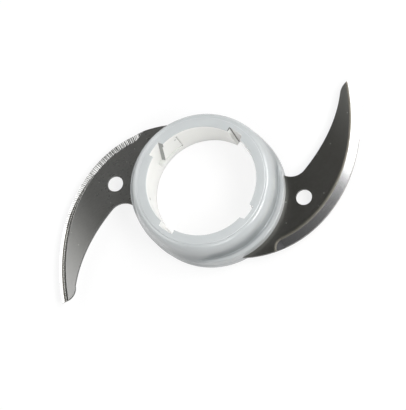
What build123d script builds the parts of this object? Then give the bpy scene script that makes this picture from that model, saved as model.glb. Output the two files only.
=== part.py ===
from build123d import *
import os

# Food processor blade: two sickle blades moulded into a ring that drops over the drive hub.
# Millimetres. The Z axis is the ring's bore, up. The origin is on the ring's flat bottom face.

# Ring
bore_diameter = 50.0
ring_height = 21.5
rim_width = 4.15          # flat annulus on top
rim_step = 0.4            # small drop round the annulus
shoulder_width = 3.3      # rounded shoulder outside the annulus
shoulder_drop = 7.0
base_flare = 1.0          # the wall opens a little towards the bottom
bore_chamfer = 0.3
foot_chamfer = 0.5

# Collars that thicken the wall where each blade leaves it
collar_height = 9.6
collar_reach = 2.4        # beyond the bottom of the wall, at the middle of the collar
collar_tuck = 0.3         # its radius is this much less than the wall's
collar_angle = -77.0
collar_chamfer = 0.6
collar_undercut = 1.5     # chamfer under the collar

# Drive slots in the bore
slot_count = 4
slot_depth = 2.1
slot_angle = 22.9         # square end of the first slot
slot_sweep = 15.6         # to the slanted end, at the top
slot_lead = 7.0           # the slanted end opens towards the bore
slot_floor = 4.6          # every second slot ends here, the others go through
slot_lean = 7.5           # and these close towards the bottom

# Shallow lock pockets beside the blind slots
pocket_depth = 0.4
pocket_sweep = 16.0
pocket_ceiling = 18.0

# Blades
blade_thickness = 1.5
blade_level = 3.7         # underside
tang_cover = 1.2          # plastic between the slots and the tang
tang_start = -24.0
tang_end = -105.0
tang_key_diameter = 2.6   # plastic fills these and keys the tang
tang_key_inset = 2.9
tang_key_angles = (-42.0, -84.0)
hole_diameter = 7.3
hole_center = (30.8, -31.1)

# Blade outline, for the blade at +X
lead_points = [(-8.5, -33.8), (2.1, -40.7), (20.0, -45.4), (48.0, -39.6), (63.4, -29.1), (83.2, -3.0)]
tip_corner = [(80.0, -1.7), (76.4, -2.1)]
trail_points = [(73.0, -4.3), (63.0, -12.0), (50.0, -18.2), (38.4, -21.5)]
root_curve = [(33.9, -20.9), (29.6, -14.5)]
plain_inset = (0.0, 0.0)
toothed_inset = (0.65, -1.1)   # the toothed blade is a little narrower
tip_share = 0.4           # of the inset, at the tip

# Ground edge
plain_bevel = 4.5
toothed_bevel = 3.0
edge_land = 0.25
bevel_start = 0.19        # along the leading edge, from the root
toothed_fade = 5.3        # length over which the toothed bevel runs out
tooth_pitch = 0.9
tooth_width = 0.6
tooth_depth = 0.14
toothed_length = 56.0

bore_radius = bore_diameter / 2
rim_radius = bore_radius + rim_width
wall_radius = rim_radius + shoulder_width
foot_radius = wall_radius + base_flare
collar_radius = foot_radius - collar_tuck
slot_radius = bore_radius + slot_depth
tang_radius = slot_radius + tang_cover


def polar(radius, angle):
    return Vector(radius, 0, 0).rotate(Axis.Z, angle)


# The ring's section, turned about the bore
def ring_body():
    shoulder_top = ring_height - rim_step
    shoulder_foot = shoulder_top - shoulder_drop
    with BuildPart() as body:
        with BuildSketch(Plane.XZ):
            with BuildLine():
                Polyline(
                    (foot_radius - foot_chamfer, 0),
                    (bore_radius + bore_chamfer, 0),
                    (bore_radius, bore_chamfer),
                    (bore_radius, ring_height - bore_chamfer),
                    (bore_radius + bore_chamfer, ring_height),
                    (rim_radius, ring_height),
                    (rim_radius, shoulder_top),
                )
                Spline(
                    (rim_radius, shoulder_top),
                    (wall_radius, shoulder_foot),
                    tangents=[(1, -0.12), (0.03, -1)],
                )
                Polyline(
                    (wall_radius, shoulder_foot),
                    (foot_radius, foot_chamfer),
                    (foot_radius - foot_chamfer, 0),
                )
            make_face()
        revolve(axis=Axis.Z)
    return body.part


# One collar: a short eccentric drum, bored clear of the hub
def collar():
    offset = collar_reach + collar_tuck
    drum = Cylinder(collar_radius, collar_height, align=(Align.CENTER, Align.CENTER, Align.MIN))
    drum = chamfer(drum.edges().group_by(Axis.Z)[-1], collar_chamfer)
    drum = chamfer(drum.edges().group_by(Axis.Z)[0], collar_undercut)
    drum = Pos(*polar(offset, collar_angle)) * drum
    core = Cylinder(bore_radius + bore_chamfer, collar_height, align=(Align.CENTER, Align.CENTER, Align.MIN))
    return drum - core


# One drive slot: square at one end, slanted at the other
def slot(angle, floor, lean):
    inside = bore_radius - slot_depth
    outside = slot_radius + slot_depth
    top = ring_height + rim_step

    def section(level):
        closing = lean * (ring_height - level) / (ring_height - slot_floor)
        far = angle - slot_sweep + closing
        corners = [
            polar(inside, angle),
            polar(outside, angle),
            polar(outside, far + slot_lead / 2),
            polar(inside, far - slot_lead / 2),
        ]
        return Pos(0, 0, level) * make_face(Polyline(*corners, close=True))

    cut = loft([section(floor), section(top)])
    return cut & Cylinder(slot_radius, 3 * ring_height)


# One lock pocket, from the slanted end of a slot onwards
def pocket(angle):
    start = angle - slot_sweep / 2
    end = angle - slot_sweep - pocket_sweep
    outside = bore_radius + pocket_depth
    depth = pocket_ceiling - slot_floor
    middle = (start + end) / 2
    outline = Polyline(
        (0, 0),
        polar(2 * outside, start),
        polar(2 * outside, middle),
        polar(2 * outside, end),
        close=True,
    )
    wedge = extrude(Pos(0, 0, slot_floor) * make_face(outline), depth)
    return wedge & Cylinder(outside, 3 * ring_height)


# Leading edge of a blade, from inside the collar to the tip
def leading_edge(level):
    return Pos(0, 0, level) * Spline(*lead_points)


# A blade blank with its tang, locating hole and key holes
def blade_blank(inset):
    tang_middle = (tang_start + tang_end) / 2
    tip = [Vector(*point) + Vector(*inset) * tip_share for point in tip_corner]
    trail = [Vector(*point) + Vector(*inset) for point in trail_points]
    root = [Vector(*point) + Vector(*inset) for point in root_curve]
    lead = leading_edge(0)
    with BuildPart() as blank:
        with BuildSketch(Plane.XY.offset(blade_level)):
            with BuildLine():
                add(lead)
                Line(lead @ 1, tip[0])
                ThreePointArc(*tip, trail[0])
                Spline(*trail)
                ThreePointArc(trail[-1], *root)
                Line(root[-1], polar(tang_radius, tang_start))
                ThreePointArc(
                    polar(tang_radius, tang_start),
                    polar(tang_radius, tang_middle),
                    polar(tang_radius, tang_end),
                )
                Line(polar(tang_radius, tang_end), lead @ 0)
            make_face()
            with Locations(hole_center):
                Circle(hole_diameter / 2, mode=Mode.SUBTRACT)
            with Locations(*[polar(tang_radius + tang_key_inset, angle) for angle in tang_key_angles]):
                Circle(tang_key_diameter / 2, mode=Mode.SUBTRACT)
        extrude(amount=blade_thickness)
    return blank.part


# What the grinding wheel takes off the top of the leading edge. At the root the wheel leaves the edge
# slowly over the given length, or straight up and round.
def grind(width, fade):
    drop = blade_thickness - edge_land
    slope = drop / width
    edge = leading_edge(blade_level + edge_land)
    path = edge.trim(bevel_start, 1.0)
    past_tip = Line(path @ 1, (path @ 1) + (path % 1) * width)
    inward = Vector(0, 0, 1).cross(path % 0)
    wheel = Plane(origin=path @ 0, x_dir=inward, z_dir=path % 0)
    section = wheel * make_face(
        Polyline(
            (-width, -slope * width),
            (2 * width, 2 * drop),
            (-width, 2 * drop),
            close=True,
        )
    )
    run = sweep(section, path=Wire([path, past_tip]))
    if fade:
        leaving = (path % 0) * -fade - inward * width
        run_out = extrude(section, amount=2 * leaving.length, dir=leaving.normalized())
    else:
        cone = Cone(0, 2 * width, 2 * drop, align=(Align.CENTER, Align.CENTER, Align.MIN))
        run_out = Pos(*(path @ 0)) * cone
    return [run, run_out]


# Fine teeth: shallow vee grooves square to the edge, up the slope of the bevel
def teeth(width):
    edge = leading_edge(blade_level + edge_land)
    path = edge.trim(bevel_start, 1.0)
    slope = Vector(0, 0, 1) * (blade_thickness - edge_land)
    grooves = []
    for index in range(int(toothed_length / tooth_pitch)):
        share = index * tooth_pitch / path.length
        along = path % share
        uphill = (Vector(0, 0, 1).cross(along) * width + slope).normalized()
        seat = Plane(origin=(path @ share) - uphill, x_dir=along, z_dir=uphill)
        vee = Polyline((-tooth_width / 2, 0), (tooth_width / 2, 0), (0, tooth_depth), close=True)
        grooves.append(extrude(seat * make_face(vee), width + 3))
    return grooves


def plain_blade():
    return blade_blank(plain_inset) - grind(plain_bevel, 0)


def toothed_blade():
    ground = blade_blank(toothed_inset) - grind(toothed_bevel, toothed_fade)
    return Rot(0, 0, 180) * (ground - teeth(toothed_bevel))


# The ring is moulded round both tangs
def hub_ring(blades):
    body = ring_body() + collar() + Rot(0, 0, 180) * collar()
    cuts = []
    for index in range(slot_count):
        angle = slot_angle + index * 360 / slot_count
        if index % 2 == 1:
            cuts += [slot(angle, slot_floor, slot_lean), pocket(angle)]
        else:
            cuts.append(slot(angle, -slot_depth, 0))
    return body - cuts - blades


second_blade = plain_blade()
first_blade = toothed_blade()
ring = hub_ring([first_blade, second_blade])

os.makedirs("parts", exist_ok=True)
export_step(ring, "parts/hub_ring.step")
export_step(first_blade, "parts/first_blade.step")
export_step(second_blade, "parts/second_blade.step")
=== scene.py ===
import bpy
import bmesh
from math import cos, sin, sqrt, radians, degrees, pi, atan2
from mathutils import Matrix, Vector
from mathutils.geometry import interpolate_bezier


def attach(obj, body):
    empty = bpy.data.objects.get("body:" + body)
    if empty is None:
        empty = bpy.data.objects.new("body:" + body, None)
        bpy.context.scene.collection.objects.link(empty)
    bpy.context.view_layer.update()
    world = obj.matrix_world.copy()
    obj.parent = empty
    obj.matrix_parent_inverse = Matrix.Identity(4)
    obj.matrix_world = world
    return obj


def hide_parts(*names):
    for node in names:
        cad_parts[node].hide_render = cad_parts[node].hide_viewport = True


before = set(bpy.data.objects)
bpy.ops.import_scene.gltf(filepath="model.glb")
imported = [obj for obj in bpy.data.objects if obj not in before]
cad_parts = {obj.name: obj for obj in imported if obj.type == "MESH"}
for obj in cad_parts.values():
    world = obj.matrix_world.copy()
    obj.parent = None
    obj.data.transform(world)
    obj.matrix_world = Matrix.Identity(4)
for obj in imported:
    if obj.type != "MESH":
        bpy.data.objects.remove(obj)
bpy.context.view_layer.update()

mm = 0.001
weld = 1e-6      # metres; points closer than this are one point
scene = bpy.context.scene
scene.view_settings.view_transform = "Standard"
print("frame loaded:", sorted(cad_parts))


# helpers

def newPiece(name, bm):
    mesh = bpy.data.meshes.new(name)
    bm.to_mesh(mesh)
    bm.free()
    piece = bpy.data.objects.new(name, mesh)
    scene.collection.objects.link(piece)
    return piece


def polar(radius, angle, z=0.0):
    return Vector((radius * cos(radians(angle)), radius * sin(radians(angle)), z))


# share of the way from start to end, held between 0 and 1
def shareOf(value, start, end):
    return min(max((value - start) / (end - start), 0), 1)


def shadeByAngle(piece, angle):
    piece.data.shade_smooth()
    piece.data.set_sharp_from_angle(angle=radians(angle))


# moulded ring, in mm and degrees

ring = {
    "bore": 25.0, "height": 21.5, "edgeRound": 0.35, "boreLevels": (4.6, 9.0, 13.5, 18.0),
    "rim": 29.15, "rimRound": 0.32, "rimStep": 0.4, "roundSteps": 4,
    "shoulderDrop": 7.0, "shoulderPull": ((2.35, -0.28), (-0.12, 3.7)), "shoulderSteps": 16,
    "shelfGap": 0.12, "shelfDip": 0.05,
    "wall": 32.45, "flare": 1.0, "foot": 0.5, "wallLevels": (12.5, 11.2, 10.4, 10.0),
    "collarHeight": 9.6, "collarOffset": 2.7, "collarRadius": 33.1, "collarAngle": -77.0, "undercut": 1.5,
    # across the ledge on top of a collar: share of its width, rise
    "ledge": ((0, 0.3), (0.07, 0.1), (0.18, 0), (0.5, 0), (0.86, 0), (0.94, -0.06), (0.985, -0.18), (1, -0.4)),
    # a collar that stands out less than this runs smoothly into the wall
    "softBelow": 1.3, "ledgeAbove": 2.3, "slopeFrom": 1.0, "slopeTop": 17.0, "slopeFoot": 7.2, "sag": 2.0,
    # moulding line low on the collar: rise from its level, share of the lip
    "partingLevel": 4.5, "lip": 0.18,
    "lipShape": ((2.5, 0), (0.3, 0), (0.1, 0.2), (0, 0.8), (-0.2, 1), (-2.3, 1), (-3.0, 1)),
    "steps": 240, "weld": 0.002, "smooth": 30,
}
ring["wallFoot"] = ring["height"] - ring["rimStep"] - ring["shoulderDrop"]
slots = {
    "count": 4, "depth": 2.1, "angle": 22.9, "sweep": 15.6, "lead": 7.0, "lean": 7.5, "floor": 4.6,
    "pocketDepth": 0.4, "pocketSweep": 16.0, "pocketCeiling": 18.0,
    "steps": 8, "pocketSteps": 16, "over": 1.0, "inside": 2.0,
    "edge": 0.45, "paleSlot": 2,      # the edges of this slot get no painted shade line
}
ringFinishes = {
    # finish: its tone at the top, and at the foot; the darker foot tone is painted shade
    "milkyOutside": ("rim", "foot"),
    # painted light: the bore gets a much lighter tone than the outside of the same plastic
    "litBorePlastic": ("bore", "bore"),
    # painted shade on the drive faces of the blind slots
    "slotShadePlastic": ("shadeAndDirt", "shadeAndDirt"),
    "slotEdgeShade": ("line", "line"),
    "rimEdgeHighlight": ("edge", "edge"),
    "slotFloorShade": ("ledge", "ledge"),
    "collarEdge": ("collarEdge", "collarEdge"),
    "litSlotPlastic": ("litSlot", "litSlot"),
}
finishIndex = {name: index for index, name in enumerate(ringFinishes)}
sections = {"plain": 0, "ledge": 1, "side": 2, "base": 3}


def wallRadius(z):
    return ring["wall"] + ring["flare"] * shareOf(z, ring["wallFoot"], ring["foot"])


def collarReach(angle):
    off = angle - radians(ring["collarAngle"])
    along = abs(cos(off)) * ring["collarOffset"]      # two collars, half a turn apart
    across = sin(off) * ring["collarOffset"]
    return along + sqrt(ring["collarRadius"] ** 2 - across ** 2)


# how far a collar stands out of the wall, and whether that is a ledge (1) or still a smooth slope (0)
def collarStep(angle):
    out = max(collarReach(angle) - wallRadius(ring["collarHeight"]), 0)
    share = shareOf(out, ring["softBelow"], ring["ledgeAbove"])
    return out, share * share * (3 - 2 * share)


# section from the bore over the rim to the foot; past the plain wall, x is a share or an offset
def ringProfile():
    bore, rim, top = ring["bore"], ring["rim"], ring["height"]
    edge, lip = ring["edgeRound"], ring["rimRound"]
    quarter = [radians(90 * step / ring["roundSteps"]) for step in range(ring["roundSteps"] + 1)]
    points = [(bore + edge, 0), (bore, edge)]
    points += [(bore, level) for level in ring["boreLevels"]]
    points += [(bore + edge * (1 - cos(a)), top - edge * (1 - sin(a))) for a in quarter]
    points.append(((bore + rim) / 2, top))
    points += [(rim - lip * (1 - sin(a)), top - lip * (1 - cos(a))) for a in quarter]
    shelf = top - ring["rimStep"]
    points.append((rim, shelf - ring["shelfDip"]))
    start, end = Vector((rim + ring["shelfGap"], shelf)), Vector((ring["wall"], ring["wallFoot"]))
    leave, arrive = (Vector(pull) for pull in ring["shoulderPull"])
    shoulder = interpolate_bezier(start, start + leave, end + arrive, end, ring["shoulderSteps"])
    points += [(p.x, p.y) for p in shoulder]
    points += [(wallRadius(level), level) for level in ring["wallLevels"]]
    profile = [(x, z, "plain") for x, z in points]
    profile += [(share, ring["collarHeight"] + rise, "ledge") for share, rise in ring["ledge"]]
    profile += [(share * ring["lip"], ring["partingLevel"] + rise, "side") for rise, share in ring["lipShape"]]
    return profile + [(0, ring["foot"], "side"), (0, 0, "base")]


# radius and height of a point of the section at an angle, where the wall swells into the collars
def sectionPoint(x, z, kind, angle):
    reach = collarReach(angle)
    out, ledge = collarStep(angle)
    if kind == sections["ledge"]:
        z -= (1 - ledge) * ring["sag"] * x
    down = shareOf(z, ring["slopeTop"], ring["slopeFoot"])
    if kind == sections["plain"]:
        onWall = x > ring["rim"] + ring["slopeFrom"]
        return x + (1 - ledge) * out * down if onWall else x, z
    if kind == sections["ledge"]:
        inner = wallRadius(ring["collarHeight"])
        slope = max(wallRadius(z), inner + out * down)
        return ledge * (inner + x * out) + (1 - ledge) * slope, z
    if kind == sections["side"]:
        under = max(ring["undercut"] - z, 0)
        return max(wallRadius(z), reach - under) + x, z
    return max(wallRadius(0) - ring["foot"], reach - ring["undercut"]), z


def buildRing():
    bm = bmesh.new()
    sectionOf = bm.verts.layers.float_vector.new("section")
    loop = []
    for x, z, kind in ringProfile():
        vert = bm.verts.new((x if kind == "plain" else ring["wall"], 0, z))
        vert[sectionOf] = (x, z, sections[kind])
        loop.append(vert)
    edges = [bm.edges.new((a, b)) for a, b in zip(loop, loop[1:] + loop[:1])]
    bmesh.ops.spin(bm, geom=loop + edges, cent=(0, 0, 0), axis=(0, 0, 1), angle=2 * pi,
                   steps=ring["steps"], use_merge=True)
    for vert in bm.verts:
        angle = atan2(vert.co.y, vert.co.x)
        radius, z = sectionPoint(*vert[sectionOf], angle)
        vert.co = (radius * cos(angle), radius * sin(angle), z)
    bmesh.ops.remove_doubles(bm, verts=bm.verts, dist=ring["weld"])
    bmesh.ops.recalc_face_normals(bm, faces=bm.faces)
    bmesh.ops.scale(bm, vec=(mm, mm, mm), verts=bm.verts)
    return newPiece("hubRing", bm)


# closed block between two outlines
def cutterBetween(name, low, high):
    bm = bmesh.new()
    edges = []
    for corners in (low, high):
        verts = [bm.verts.new(corner * mm) for corner in corners]
        edges += [bm.edges.new((a, b)) for a, b in zip(verts, verts[1:] + verts[:1])]
    bmesh.ops.bridge_loops(bm, edges=edges)
    bmesh.ops.holes_fill(bm, edges=bm.edges, sides=0)
    bmesh.ops.recalc_face_normals(bm, faces=bm.faces)
    return newPiece(name, bm)


def slotCutter(angle, floor, lean):
    inside = ring["bore"] - slots["depth"]
    outside = ring["bore"] + slots["depth"]

    def section(level):
        far = angle - slots["sweep"] + lean * (ring["height"] - level) / (ring["height"] - slots["floor"])
        sweep = far + slots["lead"] / 6 - angle      # the slanted end meets the back here
        back = [polar(outside, angle + sweep * i / slots["steps"], level) for i in range(slots["steps"] + 1)]
        return back + [polar(inside, far - slots["lead"] / 2, level), polar(inside, angle, level)]

    return cutterBetween("slotCutter", section(floor), section(ring["height"] + slots["over"]))


def pocketCutter(angle):
    start = angle - slots["sweep"] / 2
    end = angle - slots["sweep"] - slots["pocketSweep"]
    steps = slots["pocketSteps"]
    inside = ring["bore"] - slots["inside"]
    outside = ring["bore"] + slots["pocketDepth"]

    def section(level):
        back = [polar(outside, start + (end - start) * i / steps, level) for i in range(steps + 1)]
        return back + [polar(inside, end, level), polar(inside, start, level)]

    return cutterBetween("pocketCutter", section(slots["floor"]), section(slots["pocketCeiling"]))


def cutRing(piece, cutters):
    for cutter in cutters:
        cut = piece.modifiers.new("cut", "BOOLEAN")
        cut.operation = "DIFFERENCE"
        cut.solver = "EXACT"
        cut.object = cutter
    bpy.context.view_layer.update()
    mesh = bpy.data.meshes.new_from_object(piece.evaluated_get(bpy.context.evaluated_depsgraph_get()))
    piece.modifiers.clear()
    piece.data = mesh
    mesh.name = piece.name
    mesh.materials.clear()
    for cutter in cutters:
        bpy.data.meshes.remove(cutter.data)


# how close a face or an edge lies to what it belongs to: mm, degrees, and shares of its normal
marks = {
    "slotBack": 0.05, "rimFace": 0.5, "floor": 0.1, "level": 0.9, "outward": 0.2, "upward": 0.05,
    "rimEdgeHighlight": 0.01, "collarEdge": 0.19, "edgeDrop": 0.2, "edgeWidth": 0.4, "lipEdge": 0.22, "lipTilt": 0.2,
    "facing": 0.8, "pocketTurn": 20, "slotTurn": 8.5, "edgeTurn": 0.15, "edgeLength": 1.0,
    "boreEdge": 0.1, "slotFace": 0.6, "topEdge": 0.3, "top": 0.1, "collar": 0.8, "collarTop": 0.01,
}


def nearTurn(co, angle, spread):
    return abs((degrees(atan2(co.y, co.x)) - angle + 180) % 360 - 180) < spread


# outside faces: painted highlights on the rim's edge, the collar's edge and the moulding line's lip; the rest
# is milky plastic
def outerFinish(middle, normal):
    angle, radius = atan2(middle.y, middle.x), middle.xy.length
    # painted highlight on the rim's rounded outer edge
    if radius < ring["rim"] + marks["rimEdgeHighlight"] and middle.z > ring["height"] - ring["rimStep"]:
        return "rimEdgeHighlight"
    atEdge = abs(middle.z - (ring["collarHeight"] - marks["edgeDrop"])) < marks["collarEdge"]
    if atEdge and radius > collarReach(angle) - marks["edgeWidth"] and collarStep(angle)[1] > 0.5:
        return "collarEdge"
    if abs(middle.z - ring["partingLevel"]) < marks["lipEdge"] and normal.z > marks["lipTilt"]:
        return "collarEdge"
    return "milkyOutside"


# paints shade on the drive faces of a blind slot; returns the upright edge at the end of its pocket
def markBlindSlot(bm, angle):
    end = angle - slots["sweep"] - slots["pocketSweep"]
    for face in bm.faces:
        middle = face.calc_center_median()
        along = Vector((-middle.y, middle.x, 0)).normalized().dot(face.normal)
        if along > marks["facing"] and nearTurn(middle, end + slots["pocketSweep"] / 2, marks["pocketTurn"]):
            face.material_index = finishIndex["slotShadePlastic"]
    inner = (ring["bore"] + marks["boreEdge"]) * mm
    edges = []
    for edge in bm.edges:
        if all(nearTurn(v.co, end, marks["edgeTurn"]) and v.co.xy.length < inner for v in edge.verts):
            level = sum(v.co.z for v in edge.verts) / 2 / mm
            upright = edge.calc_length() > marks["edgeLength"] * mm
            if upright and slots["floor"] < level < slots["pocketCeiling"]:
                edges.append(edge)
    return edges


# paints the faces of a through slot lighter still, as painted light; returns the edges of its square end
def markThroughSlot(bm, angle):
    deep = (ring["bore"] + marks["slotFace"]) * mm
    for face in bm.faces:
        middle = face.calc_center_median()
        inside = face.material_index == finishIndex["litBorePlastic"] and middle.xy.length > deep
        if inside and nearTurn(middle, angle - slots["sweep"] / 2, marks["slotTurn"]):
            face.material_index = finishIndex["litSlotPlastic"]
    top = (ring["height"] - marks["top"]) * mm
    rim = (ring["bore"] + marks["topEdge"]) * mm
    back = (ring["bore"] + slots["depth"] - marks["top"]) * mm
    edges = []
    for edge in bm.edges:
        if all(nearTurn(v.co, angle, marks["edgeTurn"]) for v in edge.verts):
            above = all(v.co.z > top and v.co.xy.length > rim for v in edge.verts)
            corner = all(v.co.xy.length > back for v in edge.verts)
            if above or corner:
                edges.append(edge)
    return edges


def finishRing(piece):
    bm = bmesh.new()
    bm.from_mesh(piece.data)
    back = ring["bore"] + slots["depth"] + marks["slotBack"]
    for face in bm.faces:
        middle = face.calc_center_median() / mm
        outward = middle.xy.normalized().dot(face.normal.xy)
        if max(v.co.xy.length for v in face.verts) / mm < back:
            if min(v.co.z for v in face.verts) / mm < ring["height"] - marks["rimFace"]:
                # painted shade on the slot floors, which are darker than the bore
                onFloor = face.normal.z > marks["level"] and abs(middle.z - slots["floor"]) < marks["floor"]
                face.material_index = finishIndex["slotFloorShade" if onFloor else "litBorePlastic"]
        elif outward > marks["outward"] and face.normal.z > marks["upward"]:
            face.material_index = finishIndex[outerFinish(middle, face.normal)]
    for index in range(slots["count"]):
        angle = slots["angle"] + 360 * index / slots["count"]
        edges = markBlindSlot(bm, angle) if index % 2 else markThroughSlot(bm, angle)
        # slot edges are bevelled into narrow strips that carry a painted shade line
        finish = finishIndex["litBorePlastic" if index == slots["paleSlot"] else "slotEdgeShade"]
        bmesh.ops.bevel(bm, geom=edges, offset=slots["edge"] * mm, offset_type="OFFSET", affect="EDGES",
                        segments=1, profile=0.5, material=finish, clamp_overlap=False)
    bmesh.ops.dissolve_degenerate(bm, dist=weld, edges=bm.edges)
    # where the collars stand out as a ledge, a lighter tone is painted light that lifts the foot's painted
    # shade
    collarShadeLift = bm.verts.layers.float.new("collar")
    for vert in bm.verts:
        low = vert.co.z < (ring["collarHeight"] + marks["collarTop"]) * mm
        out = vert.co.xy.length > (wallRadius(vert.co.z / mm) + marks["collar"]) * mm
        vert[collarShadeLift] = collarStep(atan2(vert.co.y, vert.co.x))[1] if low and out else 0
    bm.to_mesh(piece.data)
    bm.free()


hubRing = buildRing()
cutters = []
for index in range(slots["count"]):
    slotAngle = slots["angle"] + 360 * index / slots["count"]
    if index % 2:
        cutters += [slotCutter(slotAngle, slots["floor"], slots["lean"]), pocketCutter(slotAngle)]
    else:
        cutters.append(slotCutter(slotAngle, -slots["over"], 0))
cutRing(hubRing, cutters)
finishRing(hubRing)
shadeByAngle(hubRing, ring["smooth"])
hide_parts("hub_ring")
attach(hubRing, "root")
print("ring:", len(hubRing.data.polygons), "faces")


# blades: the CAD forms, welded so that curved grinds shade smoothly

blades = {
    "smooth": 14, "land": 0.3, "drop": 1.25,      # mm; the grind drops from the flat to the land
    "grindTilt": (0.80, 0.995), "sideTilt": 0.3, "topTilt": 0.5,      # upward share of a face's normal
    "middle": (0.022, 0.020, 0),      # metres; the leading edge turns about it
    "corner": 0.5, "straight": 0.01,      # radians
    "pastTip": 4.0, "widest": 30.0, "leastShare": 0.15, "softTop": 0.01, "softSteps": 3, "tipSplit": 0.06,
    # finishes in the order of their materials; bands: from, to, finish, measured from the leading edge
    "plainBlade": {
        "turn": 0, "finishes": ("flat", "ground", "tanReflection", "sheared", "shadedRunOut", "keen"),
        "soft": 0.6, "softFinish": "tanReflection", "cuts": (0.35,), "bands": ((0, 0.35, "keen"),),
        "from": 0, "full": 1, "until": 67,
    },
    "toothedBlade": {
        "turn": 180, "finishes": ("flat", "ground", "brownReflection", "sheared", "shadedRunOut", "highlightLine", "shade"),
        "soft": 0, "cuts": (1.3, 2.15, 2.4, 2.7, 3.0, 3.3, 3.6, 4.0),
        "bands": ((1.3, 2.15, "brownReflection"), (2.15, 2.4, "highlightLine"), (2.4, 3.3, "shade")),
        "from": 33, "full": 57, "until": 99, "bevel": 3.0, "round": (2.4, 3.6),
    },
}


# leading edge from root to tip, read off the underside
def leadingLine(bm, look):
    low = min(v.co.z for v in bm.verts)
    sheared = look["finishes"].index("sheared")
    middle = Vector(blades["middle"])
    middle.rotate(Matrix.Rotation(radians(look["turn"]), 3, "Z"))
    points = {}
    for face in bm.faces:
        if face.material_index == sheared and max(v.co.z for v in face.verts) < low + blades["land"] * mm:
            for vert in face.verts:
                if vert.co.z < low + weld:
                    off = vert.co - middle
                    turn = atan2(off.y, off.x) - radians(look["turn"])
                    points[(turn + pi) % (2 * pi)] = vert.co.copy()
    return [points[key] for key in sorted(points)]


def cutFaces(bm, faces, point, across):
    geom = list(faces)
    for face in faces:
        geom += [*face.edges, *face.verts]
    geom = list(dict.fromkeys(geom))      # each once, always in the same order
    done = bmesh.ops.bisect_plane(bm, geom=geom, dist=weld / 10, plane_co=point, plane_no=across)
    return [g for g in done["geom"] if isinstance(g, bmesh.types.BMFace)]


# narrow bands along the leading edge; the toothed blade's line of the grind is rounded over as well
def bandBlade(bm, look):
    line = leadingLine(bm, look)
    while (line[-1] - line[-2]).angle(line[-3] - line[-4]) > blades["corner"]:
        line.pop()
    line.append(line[-1] + (line[-1] - line[-2]).normalized() * blades["pastTip"] * mm)
    chords = [(b - a).normalized() for a, b in zip(line, line[1:])]
    turns = chords[:1] + [(a + b).normalized() for a, b in zip(chords, chords[1:])] + chords[-1:]
    top = max(v.co.z for v in bm.verts)
    for point, along in zip(line, turns):
        cutFaces(bm, [f for f in bm.faces if f.normal.z > blades["topTilt"]], point, along)
    for index, along in enumerate(chords):
        start, end = line[index], line[index + 1]
        inward = Vector((-along.y, along.x, 0))
        reach = abs(start.x + end.x) / 2 / mm
        share = shareOf(reach, look["from"], look["full"])
        if share < blades["leastShare"] or reach > look["until"]:
            continue

        # bands grow out of the line of the grind, where there is one
        def scaled(offset):
            return (look["bevel"] + (offset - look["bevel"]) * share if "bevel" in look else offset) * mm

        sector = []
        for face in bm.faces:
            middle = face.calc_center_median()
            within = (middle - start).dot(turns[index]) > 0 > (middle - end).dot(turns[index + 1])
            near = abs((middle - start).dot(inward)) < blades["widest"] * mm
            if face.normal.z > blades["topTilt"] and within and near:
                sector.append(face)
        if "bevel" not in look:
            ground = [f for f in sector if f.material_index == look["finishes"].index("ground")]
            sector = bmesh.ops.dissolve_faces(bm, faces=ground)["region"]
        for offset in look["cuts"]:
            sector = cutFaces(bm, sector, start + inward * scaled(offset), inward)
        for face in sector:
            away = (face.calc_center_median() - start).dot(inward)
            for low, high, finish in look["bands"]:
                if scaled(low) < away < scaled(high):
                    face.material_index = look["finishes"].index(finish)
        if "bevel" in look:
            near, far = (scaled(offset) for offset in look["round"])
            slope = blades["drop"] / look["bevel"]
            for vert in {v for face in sector for v in face.verts}:
                away = (vert.co - start).dot(inward)
                if near < away < far:
                    vert.co.z = min(vert.co.z, top - slope * (far - away) ** 2 / (2 * (far - near)))
    # points left in the middle of a straight edge
    spare = [v for v in bm.verts if len(v.link_edges) == 2 and v.calc_edge_angle(pi) < blades["straight"]]
    bmesh.ops.dissolve_verts(bm, verts=spare)
    bmesh.ops.dissolve_degenerate(bm, dist=weld, edges=bm.edges)
    return line[0], turns[0]


def softenGrind(bm, look):
    flat, ground = (look["finishes"].index(finish) for finish in ("flat", "ground"))
    top = max(v.co.z for v in bm.verts)
    edges = [e for e in bm.edges if sorted(f.material_index for f in e.link_faces) == [flat, ground]
             and min(v.co.z for v in e.verts) > top - blades["softTop"] * mm]
    bmesh.ops.bevel(bm, geom=edges, offset=look["soft"] * mm, offset_type="OFFSET", affect="EDGES",
                    segments=blades["softSteps"], profile=0.5,
                    material=look["finishes"].index(look["softFinish"]), clamp_overlap=True)
    # points close to the tip of the round run-out, so that its shading stays round
    tip = max(bm.verts, key=lambda v: sum(f.material_index == ground for f in v.link_faces))
    spokes = [e for e in tip.link_edges if all(f.material_index == ground for f in e.link_faces)]
    bmesh.ops.connect_verts(bm, verts=[bmesh.utils.edge_split(e, tip, blades["tipSplit"])[1] for e in spokes])


def buildBlade(name, node):
    look = blades[name]
    flat, ground, sheared, shadedRunOut = (look["finishes"].index(f) for f in ("flat", "ground", "sheared", "shadedRunOut"))
    bm = bmesh.new()
    bm.from_mesh(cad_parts[node].data)
    bmesh.ops.remove_doubles(bm, verts=bm.verts, dist=weld)
    low, high = blades["grindTilt"]
    for face in bm.faces:
        side = abs(face.normal.z) < blades["sideTilt"]
        face.material_index = ground if low < face.normal.z < high else sheared if side else flat
    if look["soft"]:
        softenGrind(bm, look)
    root, along = bandBlade(bm, look)
    for face in bm.faces:
        if face.material_index == ground and (face.calc_center_median() - root).dot(along) < 0:
            face.material_index = shadedRunOut
    piece = newPiece(name, bm)
    shadeByAngle(piece, blades["smooth"])
    even = piece.modifiers.new("even", "WEIGHTED_NORMAL")
    even.keep_sharp = True
    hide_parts(node)
    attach(piece, "root")
    return piece


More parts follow.
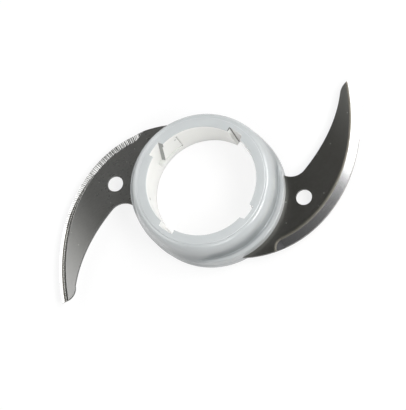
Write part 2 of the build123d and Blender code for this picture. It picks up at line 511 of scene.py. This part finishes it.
toothedBlade = buildBlade("toothedBlade", "first_blade")
plainBlade = buildBlade("plainBlade", "second_blade")
print("blades:", len(toothedBlade.data.polygons), len(plainBlade.data.polygons), "faces")


# finishes: each has two tones, which a noise mixes; lengths in metres

bumpDepth = 0.0002
plastic = {
    "rim": ((0.51, 0.535, 0.54), (0.55, 0.575, 0.58)),
    # painted shade: the darker tone of the lower outer wall
    "foot": ((0.25, 0.27, 0.275), (0.29, 0.31, 0.315)),
    # painted light: lighter tone on the collars, which lifts the foot's painted shade there
    "collar": ((0.49, 0.51, 0.515), (0.53, 0.55, 0.555)),
    # painted light: the through slots' faces, lighter than the bore
    "litSlot": ((0.96, 0.96, 0.93), (0.98, 0.98, 0.95)),
    # painted highlight on the collar's outer edge and on the lip of the moulding line
    "collarEdge": ((0.42, 0.44, 0.445), (0.48, 0.50, 0.505)),
    # painted light: the bore's tone, much lighter than the outside
    "bore": ((0.87, 0.87, 0.84), (0.91, 0.91, 0.88)),
    # painted shade on the blind slots' drive faces, and also the tone of the dirt specks
    "shadeAndDirt": ((0.27, 0.28, 0.27), (0.33, 0.34, 0.33)),
    # painted shade: the dark line along the slot edges and corners
    "line": ((0.08, 0.08, 0.08), (0.11, 0.11, 0.11)),
    # painted highlight: the tone of the rim's rounded outer edge
    "edge": ((0.68, 0.70, 0.715), (0.74, 0.76, 0.775)),
    # painted shade: the slot floors' tone, darker than the bore
    "ledge": ((0.64, 0.65, 0.63), (0.68, 0.69, 0.67)),
    # painted shade: across these heights the rim tone gives way to the darker foot tone
    "fade": (0.0115, 0.0195), "roughness": (0.18, 0.26), "shine": 0.9, "ior": 1.49,
    "cloud": (60, 4), "grain": (900, 2), "grainBump": 0.03,      # noise scale and detail
    "boreGlow": (0.7, 0.007), "glow": (0.15, 0.002),      # share and depth of the light that goes in
    "speckCore": 0.4,
    "specks": (
        # place, size
        (-0.0226, 0.0107, 0.0155, 0.0009),
        (0.0027, 0.0253, 0.0147, 0.0006),
        (0.0038, 0.0247, 0.0178, 0.0007),
    ),
}
# flats; each turns duller towards its tip and paler there as a painted sheen, from one X to another
steel = {
    "toothedBlade": {
        "tones": ((0.46, 0.46, 0.44), (0.51, 0.51, 0.49)), "roughness": (0.26, 0.30),
        "tipSheenTone": (0.58, 0.58, 0.57), "tipRoughness": 0.64, "tip": (-0.040, -0.086),
    },
    "plainBlade": {
        "tones": ((0.26, 0.255, 0.235), (0.285, 0.28, 0.26)), "roughness": (0.26, 0.32),
        "tipSheenTone": (0.42, 0.42, 0.40), "tipRoughness": 0.34, "tip": (0.05, 0.08),
    },
    "grain": (700, 1500, 700), "grainDetail": 6, "grainBump": 0.02,
    "dust": {"perMetre": 130, "share": 0.35, "size": (0.045, 0.015),
             "tones": ((0.75, 0.75, 0.72), (0.90, 0.90, 0.87))},
}
# ground bands, with their lines per radian; calm: where along X the lines fade into an even tone
grind = {
    "toothedBlade": {
        "ground": {"tones": ((0.10, 0.10, 0.097), (0.56, 0.56, 0.55)), "roughness": (0.24, 0.38),
                   "bump": 0.10, "lines": 120, "calm": (-0.022, -0.052), "calmTone": (0.80, 0.80, 0.79)},
        # painted reflection: a dark brown band inside the ground bevel
        "brownReflection": {"tones": ((0.07, 0.067, 0.057), (0.095, 0.091, 0.079)), "roughness": (0.24, 0.30),
                  "bump": 0.04, "lines": 160},
        # painted shade: the run-out is toned dark so that it shows no lamp glint
        "shadedRunOut": {"tones": ((0.02, 0.02, 0.02), (0.18, 0.18, 0.175)), "roughness": (0.3, 0.4),
                   "bump": 0.10, "lines": 120},
        # painted highlight: a bright beaded line between the brown band and the shade band
        "highlightLine": {"tones": ((0.25, 0.25, 0.24), (0.90, 0.90, 0.88)), "roughness": (0.55, 0.65),
                 "bump": 0.04, "lines": 200},
        "shade": {"tones": ((0.05, 0.05, 0.046), (0.07, 0.07, 0.064)), "roughness": (0.18, 0.24),
                  "bump": 0.02, "lines": 160},
    },
    "plainBlade": {
        "ground": {"tones": ((0.50, 0.50, 0.505), (0.54, 0.54, 0.545)), "roughness": (0.21, 0.22),
                   "bump": 0.004, "lines": 420},
        # painted reflection: the tan tone of the softened line of the grind
        "tanReflection": {"tones": ((0.25, 0.235, 0.20), (0.29, 0.275, 0.24)), "roughness": (0.38, 0.44),
                "bump": 0.02, "lines": 420},
        # painted shade: the run-out is toned dark so that it shows no lamp glint
        "shadedRunOut": {"tones": ((0.06, 0.06, 0.062), (0.075, 0.075, 0.078)), "roughness": (0.50, 0.58),
                   "bump": 0.02, "lines": 420},
        "keen": {"tones": ((0.24, 0.24, 0.23), (0.32, 0.32, 0.31)), "roughness": (0.40, 0.50),
                 "bump": 0.02, "lines": 420},
    },
    "sheared": {"tones": ((0.12, 0.12, 0.115), (0.18, 0.18, 0.17)), "roughness": (0.45, 0.55),
                "bump": 0.10, "lines": 300},
    "lineDetail": 0.5, "lineStops": (0.42, 0.58),
}


def newMaterial(name):
    material = bpy.data.materials.new(name)
    material.use_nodes = True
    return material, material.node_tree, material.node_tree.nodes["Principled BSDF"]


def ramp(tree, value, stops):
    node = tree.nodes.new("ShaderNodeValToRGB")
    elements = node.color_ramp.elements
    elements[0].position, elements[0].color = stops[0][0], (*stops[0][1], 1)
    elements[1].position, elements[1].color = stops[-1][0], (*stops[-1][1], 1)
    for position, colour in stops[1:-1]:
        elements.new(position).color = (*colour, 1)
    tree.links.new(value, node.inputs["Fac"])
    return node.outputs["Color"]


def tones(tree, value, pair, stops=(0.3, 0.7)):
    return ramp(tree, value, list(zip(stops, pair)))


def noise(tree, vector, scale, detail):
    node = tree.nodes.new("ShaderNodeTexNoise")
    node.inputs["Scale"].default_value = scale
    node.inputs["Detail"].default_value = detail
    tree.links.new(vector, node.inputs["Vector"])
    return node.outputs["Fac"]


def split(tree, vector):
    node = tree.nodes.new("ShaderNodeSeparateXYZ")
    tree.links.new(vector, node.inputs[0])
    return node.outputs


def stretch(tree, value, low, high):
    node = tree.nodes.new("ShaderNodeMapRange")
    node.inputs["To Min"].default_value, node.inputs["To Max"].default_value = low, high
    tree.links.new(value, node.inputs["Value"])
    return node.outputs["Result"]


def fraction(tree, value, start, end, kind="LINEAR"):
    node = tree.nodes.new("ShaderNodeMapRange")
    node.interpolation_type = kind
    node.inputs["From Min"].default_value, node.inputs["From Max"].default_value = start, end
    tree.links.new(value, node.inputs["Value"])
    return node.outputs["Result"]


def maths(tree, operation, first, second):
    node = tree.nodes.new("ShaderNodeMath")
    node.operation = operation
    tree.links.new(first, node.inputs[0])
    if isinstance(second, float):
        node.inputs[1].default_value = second
    else:
        tree.links.new(second, node.inputs[1])
    return node.outputs[0]


def blend(tree, share, first, second):
    node = tree.nodes.new("ShaderNodeMix")
    node.data_type = "RGBA"
    for socket, source in ((0, share), (6, first), (7, second)):      # the Mix node's colour sockets
        tree.links.new(source, node.inputs[socket])
    return node.outputs[2]


def roughen(tree, height, strength, shader):
    bump = tree.nodes.new("ShaderNodeBump")
    bump.inputs["Strength"].default_value = strength
    bump.inputs["Distance"].default_value = bumpDepth
    tree.links.new(height, bump.inputs["Height"])
    tree.links.new(bump.outputs["Normal"], shader.inputs["Normal"])


def milkyPlastic(name, upper, lower):
    material, tree, shader = newMaterial(name)
    place = tree.nodes.new("ShaderNodeTexCoord").outputs["Object"]
    cloud = noise(tree, place, *plastic["cloud"])
    # painted shade: the tone darkens from the upper tone to the lower one towards the foot
    rise = fraction(tree, split(tree, place)["Z"], *plastic["fade"], "SMOOTHSTEP")
    colour = blend(tree, rise, tones(tree, cloud, plastic[lower]), tones(tree, cloud, plastic[upper]))
    # painted light: on the collars the foot's painted shade is lifted by a lighter tone
    if lower == "foot":
        collarShadeLift = tree.nodes.new("ShaderNodeAttribute")
        collarShadeLift.attribute_name = "collar"
        colour = blend(tree, collarShadeLift.outputs["Fac"], colour, tones(tree, cloud, plastic["collar"]))
    for x, y, z, size in plastic["specks"]:
        away = tree.nodes.new("ShaderNodeVectorMath")
        away.operation = "DISTANCE"
        away.inputs[1].default_value = (x, y, z)
        tree.links.new(place, away.inputs[0])
        dirt = fraction(tree, away.outputs["Value"], size, plastic["speckCore"] * size)
        colour = blend(tree, dirt, colour, tones(tree, cloud, plastic["shadeAndDirt"]))
    tree.links.new(colour, shader.inputs["Base Color"])
    tree.links.new(stretch(tree, cloud, *plastic["roughness"]), shader.inputs["Roughness"])
    roughen(tree, noise(tree, place, *plastic["grain"]), plastic["grainBump"], shader)
    shader.inputs["IOR"].default_value = plastic["ior"]
    shader.inputs["Specular IOR Level"].default_value = plastic["shine"]
    share, depth = plastic["boreGlow"] if upper in ("bore", "litSlot") else plastic["glow"]
    shader.inputs["Subsurface Weight"].default_value = share
    shader.inputs["Subsurface Radius"].default_value = (1, 1, 1)
    shader.inputs["Subsurface Scale"].default_value = depth
    return material


# flat of a blade: fine grain, duller roughness and a painted sheen towards the tip, and sparse dust
def satinSteel(name, look):
    material, tree, shader = newMaterial(name)
    place = tree.nodes.new("ShaderNodeTexCoord").outputs["Object"]
    mapping = tree.nodes.new("ShaderNodeMapping")
    mapping.inputs["Scale"].default_value = steel["grain"]
    tree.links.new(place, mapping.inputs["Vector"])
    grain = noise(tree, mapping.outputs["Vector"], 1, steel["grainDetail"])
    # painted sheen: the flat turns paler towards its tip, while its roughness rises there too
    tipWearAndSheen = fraction(tree, split(tree, place)["X"], *look["tip"], "SMOOTHSTEP")
    pale = tones(tree, tipWearAndSheen, (look["tones"][1], look["tipSheenTone"]), (0, 1))
    colour = blend(tree, tipWearAndSheen, tones(tree, grain, look["tones"]), pale)
    cells = tree.nodes.new("ShaderNodeTexVoronoi")
    cells.voronoi_dimensions = "2D"
    cells.inputs["Scale"].default_value = steel["dust"]["perMetre"]
    tree.links.new(place, cells.inputs["Vector"])
    dots = fraction(tree, cells.outputs["Distance"], *steel["dust"]["size"])
    pick = tree.nodes.new("ShaderNodeSeparateColor")
    tree.links.new(cells.outputs["Color"], pick.inputs[0])
    dusty = maths(tree, "LESS_THAN", pick.outputs[0], steel["dust"]["share"])
    dust = maths(tree, "MULTIPLY", dots, dusty)
    colour = blend(tree, dust, colour, tones(tree, grain, steel["dust"]["tones"]))
    dull = tree.nodes.new("ShaderNodeMapRange")
    dull.inputs["To Max"].default_value = look["tipRoughness"]
    tree.links.new(tipWearAndSheen, dull.inputs["Value"])
    tree.links.new(stretch(tree, grain, *look["roughness"]), dull.inputs["To Min"])
    tree.links.new(colour, shader.inputs["Base Color"])
    tree.links.new(dull.outputs["Result"], shader.inputs["Roughness"])
    roughen(tree, grain, steel["grainBump"], shader)
    shader.inputs["Metallic"].default_value = 1
    return material


# ground band, with its lines square to the edge
def groundSteel(name, look, turn):
    material, tree, shader = newMaterial(name)
    place = tree.nodes.new("ShaderNodeTexCoord").outputs["Object"]
    mapping = tree.nodes.new("ShaderNodeMapping")
    mapping.inputs["Rotation"].default_value = (0, 0, radians(turn))
    mapping.inputs["Location"].default_value = [-c for c in blades["middle"]]
    tree.links.new(place, mapping.inputs["Vector"])
    spot = split(tree, mapping.outputs["Vector"])
    lines = tree.nodes.new("ShaderNodeTexNoise")
    lines.noise_dimensions = "1D"
    lines.inputs["Scale"].default_value = look["lines"]
    lines.inputs["Detail"].default_value = grind["lineDetail"]
    tree.links.new(maths(tree, "ARCTAN2", spot["Y"], spot["X"]), lines.inputs["W"])
    line = lines.outputs["Fac"]
    colour = tones(tree, line, look["tones"], grind["lineStops"])
    if "calm" in look:
        calm = fraction(tree, split(tree, place)["X"], *look["calm"])
        even = tones(tree, calm, (look["tones"][1], look["calmTone"]), (0, 1))
        colour = blend(tree, calm, colour, even)
    tree.links.new(colour, shader.inputs["Base Color"])
    tree.links.new(stretch(tree, line, *look["roughness"]), shader.inputs["Roughness"])
    roughen(tree, line, look["bump"], shader)
    shader.inputs["Metallic"].default_value = 1
    return material


for name, (upper, lower) in ringFinishes.items():
    hubRing.data.materials.append(milkyPlastic(name, upper, lower))
for piece, blade, label in ((toothedBlade, "toothedBlade", "Toothed"), (plainBlade, "plainBlade", "Plain")):
    piece.data.materials.append(satinSteel("satin" + label, steel[blade]))
    for finish in blades[blade]["finishes"][1:]:
        look = grind[blade].get(finish, grind["sheared"])
        piece.data.materials.append(groundSteel(finish + label, look, blades[blade]["turn"]))
print("finishes done")


# floor, light and camera

studio = {
    "floorSize": 6.0, "floorDrop": 0.0001, "floorRoughness": 0.9, "floorShine": 0.1,
    "bounce": (0.35, 0.35, 0.35), "seen": (0.95, 0.95, 0.95), "floorWhite": 0.82,
    "sky": [(0.0, 0.22), (0.5, 0.16), (0.8, 0.08), (0.94, 0.05), (0.985, 0.09), (1.0, 0.11)],
    "aim": (0, 0, 0.01),
    "lamps": {
        # name: azimuth, elevation, distance, size, watts
        "keyLamp": (-12, 50, 1.1, 0.6, 5.5),
        "sideLamp": (8, 24, 1.2, 0.6, 1.5),
        "nearLamp": (-58, 46, 1.2, 0.5, 7.0),
        "frontLamp": (-115, 42, 1.2, 0.5, 3.2),
        "leftLamp": (165, 40, 1.2, 0.8, 2.2),
        "backLamp": (112, 26, 1.2, 1.1, 6.5),
    },
}


# nearly white where it is seen, grey where it only bounces light
def buildFloor():
    bm = bmesh.new()
    bmesh.ops.create_grid(bm, x_segments=1, y_segments=1, size=studio["floorSize"])
    bmesh.ops.translate(bm, vec=(0, 0, -studio["floorDrop"]), verts=bm.verts)
    floor = newPiece("studioFloor", bm)
    material, tree, bounce = newMaterial("paleFloor")
    nodes, links = tree.nodes, tree.links
    bounce.inputs["Base Color"].default_value = (*studio["bounce"], 1)
    bounce.inputs["Roughness"].default_value = studio["floorRoughness"]
    bounce.inputs["Specular IOR Level"].default_value = studio["floorShine"]
    pale = nodes.new("ShaderNodeBsdfDiffuse")
    pale.inputs["Color"].default_value = (*studio["seen"], 1)
    white = nodes.new("ShaderNodeEmission")
    seen = nodes.new("ShaderNodeMixShader")
    seen.inputs[0].default_value = studio["floorWhite"]
    links.new(pale.outputs[0], seen.inputs[1])
    links.new(white.outputs[0], seen.inputs[2])
    path = nodes.new("ShaderNodeLightPath")
    share = path.outputs["Is Camera Ray"]
    for kind in ("Is Glossy Ray", "Is Transmission Ray"):
        share = maths(tree, "ADD", share, path.outputs[kind])
        share.node.use_clamp = True
    either = nodes.new("ShaderNodeMixShader")
    links.new(share, either.inputs[0])
    links.new(bounce.outputs[0], either.inputs[1])
    links.new(seen.outputs[0], either.inputs[2])
    links.new(either.outputs[0], nodes["Material Output"].inputs["Surface"])
    floor.data.materials.append(material)


def buildSky():
    world = bpy.data.worlds.new("studioSky")
    scene.world = world
    world.use_nodes = True
    tree = world.node_tree
    height = split(tree, tree.nodes.new("ShaderNodeTexCoord").outputs["Generated"])["Z"]
    tone = ramp(tree, height, [(level, (grey, grey, grey)) for level, grey in studio["sky"]])
    tree.links.new(tone, tree.nodes["Background"].inputs["Color"])


def buildLamps():
    for name, (azimuth, elevation, distance, size, watts) in studio["lamps"].items():
        lamp = bpy.data.lights.new(name, "AREA")
        lamp.shape = "DISK"
        lamp.size = size
        lamp.energy = watts
        holder = bpy.data.objects.new(name, lamp)
        scene.collection.objects.link(holder)
        out = polar(cos(radians(elevation)), azimuth, sin(radians(elevation)))
        holder.location = Vector(studio["aim"]) + out * distance
        holder.rotation_euler = out.to_track_quat("Z", "Y").to_euler()


view = {
    "position": (-0.0061, -0.3404, 0.9403),
    "right": (0.7727, -0.5972, -0.2150),
    "up": (0.6347, 0.7270, 0.2617),
    "lens": 196.28, "sensor": 36,
}


def buildCamera():
    data = bpy.data.cameras.new("photoCamera")
    data.sensor_fit = "HORIZONTAL"
    data.sensor_width = view["sensor"]
    data.lens = view["lens"]
    camera = bpy.data.objects.new("photoCamera", data)
    scene.collection.objects.link(camera)
    right, up = Vector(view["right"]).normalized(), Vector(view["up"]).normalized()
    turn = Matrix((right, up, right.cross(up))).transposed()
    camera.matrix_world = Matrix.Translation(view["position"]) @ turn.to_4x4()
    scene.camera = camera


buildFloor()
buildSky()
buildLamps()
buildCamera()
print("studio done")
